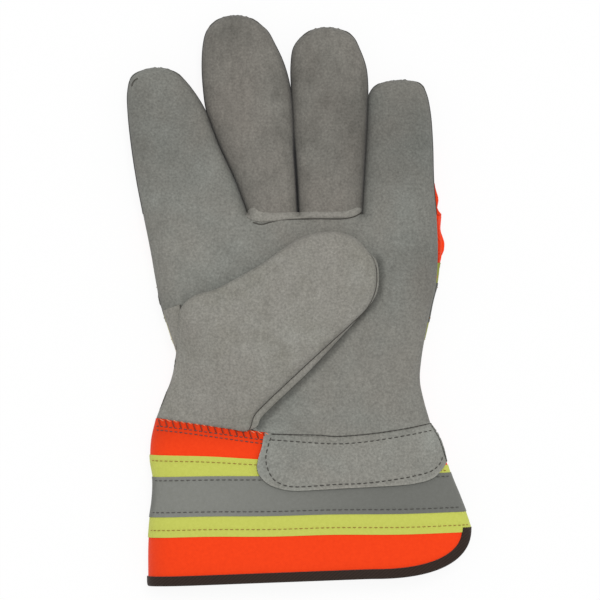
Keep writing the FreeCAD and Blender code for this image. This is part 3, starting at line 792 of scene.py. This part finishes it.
CAP_LENGTH = 30.0           # of the leather cap over each fingertip
for finger, pairs in FINGERS.items():
    made_rows = loose_rows if finger == "little" else across_rows
    rows = made_rows(*two_sides(pairs, 10), 40, back_height)
    tip = rows[-1][0].y
    cap_rows = [row for row in rows if row[0].y > tip - CAP_LENGTH]
    cloth_rows = rows[:len(rows) - len(cap_rows) + 1]
    if finger == "index":
        whole = panel("index_back_side", rows, LEATHER, grey_suede, up=False, shade=palm_shade_and_dye)
        bending(whole)
        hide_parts("index_back")
        continue
    back_piece = panel(f"{finger}_back_cloth", cloth_rows, DRILL, orange, up=False, shade=back_fold_shade)
    bending(back_piece)
    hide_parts(f"{finger}_back")
    cap = panel(f"{finger}_tip_cap", cap_rows, LEATHER, warm_suede, up=False, shade=palm_shade_and_dye)
    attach(cap, finger)
    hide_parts(f"{finger}_fingertip")


# ------------------------------------------------------------ cuff
# A stiff safety cuff of orange drill over canvas, open at the wrist and slit on the
# little finger's side, where the hem turns up in a round corner.

CUFF_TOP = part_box("cuff_ply")[1].y / MM
CORNER = spot(69.6, 10.4)       # middle of the round corner's curve
CORNER_WIDE, CORNER_DEEP = 47.3, 24.0
CORNER_POWER = 2.4              # 2 is an ellipse, and more is squarer
HEM_SLOPE = 0.0377
LOWEST = 0.02                   # the least height over the table


def hem_at(x):
    """How far along the glove the hem is, at a place across it."""
    if x < CORNER.x:
        return CORNER.y - CORNER_DEEP - HEM_SLOPE * (CORNER.x - x)
    share = min((x - CORNER.x) / CORNER_WIDE, 1.0)
    return CORNER.y - CORNER_DEEP * (1 - share ** CORNER_POWER) ** (1 / CORNER_POWER)


cuff_left, cuff_right = two_sides(CUFF_SIDES, 10)


def side_at(line, y):
    """Where a side of the cuff is, at a place along the glove."""
    if y >= line[0].y:
        return line[0].x
    for a, b in zip(line, line[1:]):
        if a.y >= y >= b.y:
            return a.x + (b.x - a.x) * (a.y - y) / max(a.y - b.y, 1e-6)
    return line[-1].x


def off_cuff(x, y, front, full, off, sideways):
    """A point that stands off the cuff: up or down on its faces, sideways at its edges."""
    height = stepped(y, RISE) + off if front else -stepped(y, DROP) - off
    return Vector((x + off * sideways * (1 - full ** 3), y, max(SEAM + height * full, LOWEST)))


def ring_rows(top, bottom, rows, columns, lift, right_side=None):
    """Rows round the cuff: over its front to the right, and back under it to the left.

    top and bottom give each row's limits by the place across, and lift stands the
    rows off the cloth, outwards.
    """
    made = []
    for number in range(rows + 1):
        row = []
        for column in range(2 * columns):
            front = column <= columns
            turn = (column if front else 2 * columns - column) / columns
            share = crowded(turn)
            lowest, highest = -142.0, CUFF_TOP + 8.0
            for halving in range(18):
                y = (lowest + highest) / 2
                left = side_at(cuff_left, y)
                right = right_side(y) if right_side else side_at(cuff_right, y)
                x = left + (right - left) * share
                if y > top(x) + (bottom(x) - top(x)) * number / rows:
                    highest = y
                else:
                    lowest = y
            full = 0.0 if turn in (0, 1) else fullness(x, y)
            row.append(off_cuff(x, y, front, full, lift, -1 if share < 0.5 else 1))
        made.append(row)
    return made


def cuff_tone(x, y, z):
    """The cloth is a little darker near the hem's corner and the left edge, with painted shade darker
    along its top, by the wrist seam.
    """
    tone_level = 1.0 - 0.03 * eased(-120, -131, y) - 0.05 * eased(-60, -70, x)
    # Painted shade along the top of the cuff, by the wrist seam.
    return tone_level - 0.15 * eased(-72, -60, y)


def silver_sheen_and_shade(x, y, z):
    """Painted light on the glass-bead tape: a painted sheen, lighter at the left and greying towards the
    slit, and painted shade where it folds round.
    """
    tone = 1.15 - 0.34 * eased(-60, 55, x)
    return tone - 0.30 * (1 - eased(0.0, 2.6, x - side_at(cuff_left, y)))


ply_rows = ring_rows(wrist_seam, hem_at, 60, 90, 0.0)
ply = panel("cuff_cloth", ply_rows, 1.0, orange, closed=True, shade=cuff_tone)
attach(ply, "hand")
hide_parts("cuff_ply")


def cuff_height(x, y):
    """Height of the cuff's upper face."""
    return SEAM + stepped(y, RISE) * fullness(x, y)


def corner_side(y):
    """The cuff's right side, down to where the slit's round corner starts and along it."""
    if y >= CORNER.y:
        return side_at(cuff_right, y)
    share = min((CORNER.y - y) / CORNER_DEEP, 1.0)
    reach = CORNER_WIDE * (1 - share ** CORNER_POWER) ** (1 / CORNER_POWER)
    return min(side_at(cuff_right, y), CORNER.x + reach)


def slanting(left, right, wave=0.0):
    """A tape's edge, from one share of the glove's length at the left to one at the right."""
    first, last = spot(4.0, left), spot(98.0, right)

    def edge(x):
        share = (x - first.x) / (last.x - first.x)
        return first.y + (last.y - first.y) * share + wave * math.sin(x / 9.5)
    return edge


lime_top, lime_bottom = slanting(23.0, 20.9, 0.25), slanting(8.4, 9.3, 0.2)
silver_top, silver_bottom = slanting(19.0, 19.8, 0.15), slanting(11.95, 12.9, 0.15)
lime_band = panel("cuff_lime_tape", ring_rows(lime_top, lime_bottom, 24, 80, 0.35, corner_side),
                  0.3, lime, closed=True)
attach(lime_band, "hand")
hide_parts("cuff_tape_lime")
silver_band = panel("cuff_silver_tape", ring_rows(silver_top, silver_bottom, 16, 80, 0.65, corner_side),
                    0.3, silver, closed=True, shade=silver_sheen_and_shade)
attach(silver_band, "hand")
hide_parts("cuff_tape_silver")


# Rings of a stitch: how far along it, how thick and how high, the last two in radii.
STITCH = ((0.0, 0.45, -0.5), (0.25, 1.0, 0.1), (0.75, 1.0, 0.1), (1.0, 0.45, -0.5))


def stitch_mesh(strokes, radius, sides=5):
    """Points and faces of many short stitches, each from one place to another."""
    points, faces = [], []
    for a, b in strokes:
        run = b - a
        side = run.cross(Vector((0.0, 0.0, 1.0))).normalized()
        up = side.cross(run).normalized()
        first = len(points)
        for share, thick, rise in STITCH:
            middle = a + run * share + up * radius * rise
            for turn in range(sides):
                angle = 2 * math.pi * turn / sides
                points.append(middle + (side * math.cos(angle) + up * math.sin(angle)) * radius * thick)
        for ring in range(3):
            for turn in range(sides):
                after = (turn + 1) % sides
                base = first + ring * sides
                faces.append((base + turn, base + after, base + sides + after, base + sides + turn))
        faces.append(tuple(first + turn for turn in reversed(range(sides))))
        faces.append(tuple(first + 3 * sides + turn for turn in range(sides)))
    return points, faces


def stitching(name, strokes, radius, material):
    """One piece of many stitches."""
    points, faces = stitch_mesh(strokes, radius)
    mesh = bpy.data.meshes.new(name)
    mesh.from_pydata([point * MM for point in points], [], faces)
    sewn = bmesh.new()
    sewn.from_mesh(mesh)
    bmesh.ops.recalc_face_normals(sewn, faces=sewn.faces)
    sewn.to_mesh(mesh)
    sewn.free()
    return piece_of(name, mesh, material, angle=60)


def dashes(line, pitch, length):
    """Stitches of one length, a pitch apart, along a line of points."""
    strokes, start = [], None
    walked, due = 0.0, 0.0
    for a, b in zip(line, line[1:]):
        span = (b - a).length
        while span > 0 and walked + span >= due:
            place = a.lerp(b, (due - walked) / span)
            if start is None:
                start = place
                due += length
            else:
                strokes.append((start, place))
                start = None
                due += pitch - length
        walked += span
    return strokes


tape_brown = thread("orange_brown_tape_thread", "#A9803A", "#8A6128")
tape_dark = thread("dark_tape_thread", "#55534F", "#3E3C39")


def across_cuff(edge, inset, lift):
    """A line over the cuff's front beside a tape's edge, `lift` off the cloth."""
    line = []
    for number in range(161):
        y = edge(spot(50, 0).x)
        for attempt in range(3):
            left, right = side_at(cuff_left, y) + 0.8, corner_side(y) - 0.8
            x = left + (right - left) * number / 160
            y = edge(x) + inset
        line.append(Vector((x, y, cuff_height(x, y) + lift)))
    return line


lime_threads = (dashes(across_cuff(lime_top, -2.6, 0.85), 2.5, 1.7)
                + dashes(across_cuff(lime_bottom, 3.4, 0.85), 2.5, 1.7))
lime_sewing = stitching("lime_tape_stitches", lime_threads, 0.19, tape_brown)
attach(lime_sewing, "hand")
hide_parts("cuff_tape_thread")
silver_threads = (dashes(across_cuff(silver_top, -1.7, 1.12), 2.8, 1.9)
                  + dashes(across_cuff(silver_bottom, 2.2, 1.12), 2.8, 1.9))
silver_sewing = stitching("silver_tape_stitches", silver_threads, 0.21, tape_dark)
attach(silver_sewing, "hand")


# The vein patch: a pad of leather over the pulse, sewn on the cuff and into the wrist
# seam. Its cut edge is left raw, paler than its face.
PATCH = [((36.8, 20.9), (36.8, 20.9)), ((37.2, 22.3), (37.2, 19.8)), ((38.2, 24.3), (38.3, 18.8)),
         ((39.4, 27.0), (40.0, 17.9)), ((42.0, 26.9), (43.5, 17.05)), ((47.5, 26.7), (47.2, 16.7)),
         ((55.1, 26.4), (54.5, 16.85)), ((60.5, 26.3), (60.3, 17.05)), ((71.0, 26.8), (71.3, 17.4)),
         ((80.3, 27.7), (82.0, 17.9)), ((84.0, 28.1), (87.5, 18.8)), ((87.1, 28.5), (89.4, 19.7)),
         ((90.6, 25.9), (90.6, 20.5)), ((91.8, 23.1), (91.4, 21.2)), ((92.0, 21.9), (92.0, 21.9))]
patch_top, patch_bottom = two_sides(PATCH, 9)


def patch_height(x, y):
    """Height of the patch, which starts in the wrist seam and lies over the cuff's tapes."""
    return cuff_height(x, y) + 0.4 + 1.5 * eased(0.5, 5.0, wrist_seam(x) - y)


patch_rows = []
for a, b in zip(patch_top, patch_bottom):
    row = []
    for column in range(41):
        place = a.lerp(b, crowded(column / 40))
        place.x = min(place.x, corner_side(place.y) + 0.3)
        row.append(Vector((place.x, place.y, patch_height(place.x, place.y))))
    patch_rows.append(row)
patch_rim = finder(patch_top + patch_bottom)


def patch_tone(x, y, z):
    """The raw edge shows the paler middle of the hide."""
    raw = 1 - eased(0.2, 1.6, patch_rim.find((x, y, 0.0))[2])
    return 1.13 + 0.12 * raw * eased(1.0, 3.0, wrist_seam(x) - y)


patch = panel("vein_patch_leather", patch_rows, 1.2, grey_suede, shade=patch_tone)
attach(patch, "hand")
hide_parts("vein_patch")

PATCH_EDGE_SEAM = [(40.9, 26.0), (40.0, 24.4), (39.4, 22.0), (40.3, 20.0), (42.0, 18.5), (45.8, 17.5),
                   (49.3, 17.4), (59.4, 17.8), (67.5, 18.0), (74.8, 18.5), (81.5, 19.2), (87.5, 20.2),
                   (90.0, 21.6), (90.7, 22.9)]
PATCH_TOP_SEAM = [(41.0, 26.6), (48.0, 26.5), (55.1, 26.4), (59.7, 26.2), (69.6, 26.65), (80.3, 27.6),
                  (87.0, 28.4)]
PATCH_SECOND_SEAM = [(40.9, 25.6), (48.0, 25.3), (55.1, 25.0), (60.3, 24.9), (67.5, 25.2), (77.5, 26.1),
                     (87.5, 27.2)]


def on_patch(x, y):
    """Height of the stitches on the patch, and on the palm's edge beside it."""
    palm_level = palm_under_wing(x, y) if y > wrist_seam(x) - 0.5 else 0.0
    return max(patch_height(x, y), palm_level) + 0.1


patch_edge, patch_first, patch_second = [laid(places, 10, on_patch) for places in
                                         (PATCH_EDGE_SEAM, PATCH_TOP_SEAM, PATCH_SECOND_SEAM)]
patch_dark = thread("dark_patch_thread", "#46443F", "#302E2A")
patch_sewing = stitching("patch_stitches", dashes(patch_edge, 2.9, 2.0) + dashes(patch_first, 2.6, 2.1)
                         + dashes(patch_second, 2.9, 2.0), 0.28, patch_dark)
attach(patch_sewing, "hand")
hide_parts("patch_thread")

wrist_line = [p - Vector((0.0, 0.0, 0.1)) for p in patch_first]
wrist_sewn = cord("wrist_seam_line", wrist_line, 0.2, patch_dark)
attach(wrist_sewn, "hand")


# Overlock: slanting threads bind the cuff's top edge to the leather, with two rows of
# straight stitching under them.
overlock_rust = thread("rust_overlock_thread", "#A83417", "#5E2415")
# Pale peach for the overlock's loops over the top edge: a painted highlight on them.
overlock_highlight_thread = thread("overlock_loop_painted_highlight", "#F39A78", "#E87C52")


def cuff_edge(x, down):
    """A place on the cuff's face, so far down from its top edge."""
    y = wrist_seam(x) - down
    return Vector((x, y, cuff_height(x, y) + 0.35))


OVERLOCK_PITCH = 3.3
first, last = spot(8.2, 0).x, spot(40.0, 0).x
places = [first + OVERLOCK_PITCH * number for number in range(int((last - first) / OVERLOCK_PITCH) + 1)]
strokes = [(cuff_edge(x, 0.3), cuff_edge(x + 1.1, 3.4)) for x in places]
# The loops along the top edge, drawn in the pale peach of a painted highlight.
highlight_loops = [(cuff_edge(x + 0.5, 0.0), cuff_edge(x + 2.5, 0.9)) for x in places]
overlock = stitching("overlock_strokes", strokes, 0.36, overlock_rust)
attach(overlock, "hand")
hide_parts("overlock_thread")
overlock_light = stitching("overlock_loops", highlight_loops, 0.24, overlock_highlight_thread)
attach(overlock_light, "hand")
seam_rows = []
for down in (3.6, 5.4):
    line = [cuff_edge(spot(7.6, 0).x + 0.5 * step, down) for step in range(104)]
    seam_rows += dashes(line, 2.4, 1.7)
cuff_seam = stitching("cuff_seam_stitches", seam_rows, 0.22, tape_dark)
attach(cuff_seam, "hand")


# The hem's binding: dark brown twill tape folded over the cut edge, 4.2 mm to a side,
# all round the hem and up the round corner to the top of the slit.
BINDING = 4.2


def twill(name, face, dark):
    """Cotton twill tape: fine slanting ribs, matt and a little dusty."""
    made, shader, tree, place = material(name, 0.9, sheen=0.08, specular=0.15)
    turned = add(tree, "Mapping", {"Vector": place, "Rotation": (0.0, 0.0, 0.9)}).outputs[0]
    ribs = add(tree, "TexWave", {"Vector": turned, "Scale": 1 / (3.6 * MM), "Distortion": 1.2,
                                 "Detail": 2.0}).outputs["Fac"]
    both = add(tree, "Mix", {0: 0.5, 2: ribs, 3: grain(tree, place, 1.4, 3.0)}).outputs[0]
    tree.links.new(mixed(tree, both, dark, face), shader.inputs["Base Color"])
    bumped(tree, shader, (both, 0.4, 0.2))
    return made


brown_twill = twill("dark_brown_twill_binding", "#3B2F29", "#271E1A")
hem_ring = ply_rows[-1]
total = len(hem_ring)


def up_the_cuff(x, y):
    """The way square to the hem, on the plan, from its edge into the cuff."""
    if x <= CORNER.x:
        return Vector((-HEM_SLOPE, 1.0)).normalized()
    across = ((x - CORNER.x) / CORNER_WIDE) ** (CORNER_POWER - 1) / CORNER_WIDE
    along = (max(CORNER.y - y, 0.0) / CORNER_DEEP) ** (CORNER_POWER - 1) / CORNER_DEEP
    return Vector((-across, along)).normalized()


# The tape's section: how far up from the hem, and how far off the cuff's outer face.
SECTION = ((BINDING, 0.1), (BINDING - 0.1, 0.75), (BINDING * 0.5, 0.95), (0.9, 0.9), (0.1, 0.7),
           (-0.45, 0.0), (-0.45, -0.9), (0.1, -1.6), (BINDING * 0.5, -1.8), (BINDING - 0.1, -1.6),
           (BINDING, -1.1))
binding_rows = []
for step in range(total + 1):
    index = (total // 2 + step) % total
    front = 0 < index <= total // 2 and step > 0
    way = up_the_cuff(hem_ring[index].x, hem_ring[index].y)
    row = []
    for along, off in SECTION:
        x = hem_ring[index].x + way.x * along
        y = hem_ring[index].y + way.y * along
        full = fullness(x, y) if index else 0.0
        row.append(off_cuff(x, y, front, full, off, -0.6 if hem_ring[index].x < 0 else 0.8))
    binding_rows.append(row)
binding = panel("hem_binding", binding_rows, 0, brown_twill, closed=True)
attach(binding, "hand")
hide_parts("cuff_binding")


# Inside the cuff: a stiff canvas interlining, seen at the open hem. Inside the palm: a
# brushed cotton lining, cut as the palm and hanging just under the leather.
canvas = cloth("natural_cotton_canvas", "#C9C1B0", "#B2A994", 0.9)
backing_rows = ring_rows(wrist_seam, hem_at, 40, 70, -1.25)
backing = panel("cuff_canvas", backing_rows, 0.5, canvas, closed=True)
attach(backing, "hand")
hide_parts("cuff_backing")

fleece = cloth("brushed_cotton_lining", "#D9D0B8", "#C6BCA2", 1.1)


def lining_height(x, y):
    """Height of the lining, just under the leather and down to the side seams."""
    return max(palm_under_wing(x, y) - 1.7 * fullness(x, y), SEAM - 0.1)


lining_rows = across_rows(*two_sides(HAND[:-1], 8), 90, lining_height)
lining_rows = [row[3:-3] for row in lining_rows[3:]]
lining = panel("palm_cotton_lining", lining_rows, 0.8, fleece)
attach(lining, "hand")
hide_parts("palm_lining")

# The shirring elastic, stretched and sewn inside the back at the wrist.
elastic_white = cloth("woven_white_elastic", "#E2DFD4", "#C9C5B8", 1.2)
ELASTIC_LOW, ELASTIC_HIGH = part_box("wrist_elastic")[0] / MM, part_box("wrist_elastic")[1] / MM
elastic_rows = []
for across in range(161):
    x = ELASTIC_LOW.x + (ELASTIC_HIGH.x - ELASTIC_LOW.x) * across / 160
    row = []
    for along in range(9):
        y = ELASTIC_LOW.y + (ELASTIC_HIGH.y - ELASTIC_LOW.y) * along / 8
        row.append(Vector((x, y, back_height(x, y) + 1.6 + 0.35 * math.sin(x / 0.9))))
    elastic_rows.append(row)
elastic = panel("wrist_elastic_strip", elastic_rows, 0.7, elastic_white)
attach(elastic, "hand")
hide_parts("wrist_elastic")


# Lime and silver tape across the back of the hand, sewn on with four straight rows.
def over_back(low, high, lift, rows=14):
    """Rows over the back cloth between two places along the glove, lift off it."""
    levels = [high + (low - high) * number / rows for number in range(rows + 1)]
    left, right = [[Vector((side_at(line, y), y, 0.0)) for y in levels] for line in two_sides(HAND, 12)]
    lifted = []
    for row in loose_rows(left, right, 110, back_cloth_height):
        made = []
        for number, point in enumerate(row):
            run = row[min(number + 1, len(row) - 1)] - row[max(number - 1, 0)]
            out = Vector((run.z, 0.0, -run.x)).normalized()
            made.append(point + out * lift)
            made[-1].z = max(made[-1].z, 0.05)
        lifted.append(made)
    return lifted


back_lime = panel("back_lime_tape", over_back(-20.5, 17.5, 0.3), 0.25, lime, up=False,
                  shade=back_tape_shade)
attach(back_lime, "hand")
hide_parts("back_tape_lime")
back_silver = panel("back_silver_tape", over_back(-10.5, 8.0, 0.5), 0.25, silver, up=False,
                    shade=back_tape_shade)
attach(back_silver, "hand")
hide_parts("back_tape_silver")
back_strokes = []
for place, lift in ((15.5, 0.45), (6.0, 0.7), (-8.5, 0.7), (-18.5, 0.45)):
    back_strokes += dashes(over_back(place - 0.1, place, lift, rows=1)[0], 2.6, 1.8)
back_sewing = stitching("back_tape_stitches", back_strokes, 0.22, tape_brown)
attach(back_sewing, "hand")
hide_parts("back_tape_thread")


# ------------------------------------------------------------ light, camera and floor

world = bpy.data.worlds.new("studio")
bpy.context.scene.world = world
world.use_nodes = True
sky = world.node_tree
background = sky.nodes["Background"]
background.inputs["Strength"].default_value = 0.62
path = add(sky, "LightPath")
seen = add(sky, "Math", {0: path.outputs["Is Camera Ray"], 1: path.outputs["Is Glossy Ray"]},
           operation="MAXIMUM")
seen = add(sky, "Math", {0: seen.outputs[0], 1: path.outputs["Is Transmission Ray"]},
           operation="MAXIMUM")
white = add(sky, "Background", {"Strength": 1.0})
white.inputs["Color"].default_value = (1, 1, 1, 1)
background.inputs["Color"].default_value = (1, 1, 1, 1)
choice = add(sky, "MixShader", {0: seen.outputs[0], 1: background.outputs[0],
                                          2: white.outputs[0]})
sky.links.new(choice.outputs[0], sky.nodes["World Output"].inputs["Surface"])

lamp = bpy.data.lights.new("key", "SUN")
lamp.energy = 1.21
lamp.angle = math.radians(25)
key = bpy.data.objects.new("key", lamp)
key.rotation_euler = (math.radians(-17), math.radians(9), 0.0)
bpy.context.collection.objects.link(key)

bpy.ops.mesh.primitive_plane_add(size=4.0, location=(0, 0, -0.0002))
floor = bpy.context.active_object
floor.name = "floor"
paper, paper_shader, paper_tree, paper_place = material("white_paper", 0.9, specular=0.0)
paper_shader.inputs["Base Color"].default_value = (1, 1, 1, 1)
floor.data.materials.append(paper)
glow = add(paper_tree, "Emission", {"Strength": 1.0})
glow.inputs["Color"].default_value = (1, 1, 1, 1)
looked_at = add(paper_tree, "LightPath")
faint = add(paper_tree, "Math", {0: looked_at.outputs["Is Camera Ray"], 1: 0.9},
            operation="MULTIPLY")
blended = add(paper_tree, "MixShader", {0: faint.outputs[0], 1: paper_shader.outputs[0],
                                                  2: glow.outputs[0]})
paper_tree.links.new(blended.outputs[0], paper_tree.nodes["Material Output"].inputs["Surface"])

camera_data = bpy.data.cameras.new("camera")
camera = bpy.data.objects.new("camera", camera_data)
bpy.context.collection.objects.link(camera)
bpy.context.scene.camera = camera
HEIGHT = 2.0
VIEW_WIDTH = 0.282
camera_data.lens = camera_data.sensor_width * (HEIGHT - 0.012) / VIEW_WIDTH
camera.location = (-0.0005, 0.0, HEIGHT)
camera.rotation_euler = (0.0, 0.0, 0.0)

bpy.context.scene.view_settings.view_transform = "Standard"
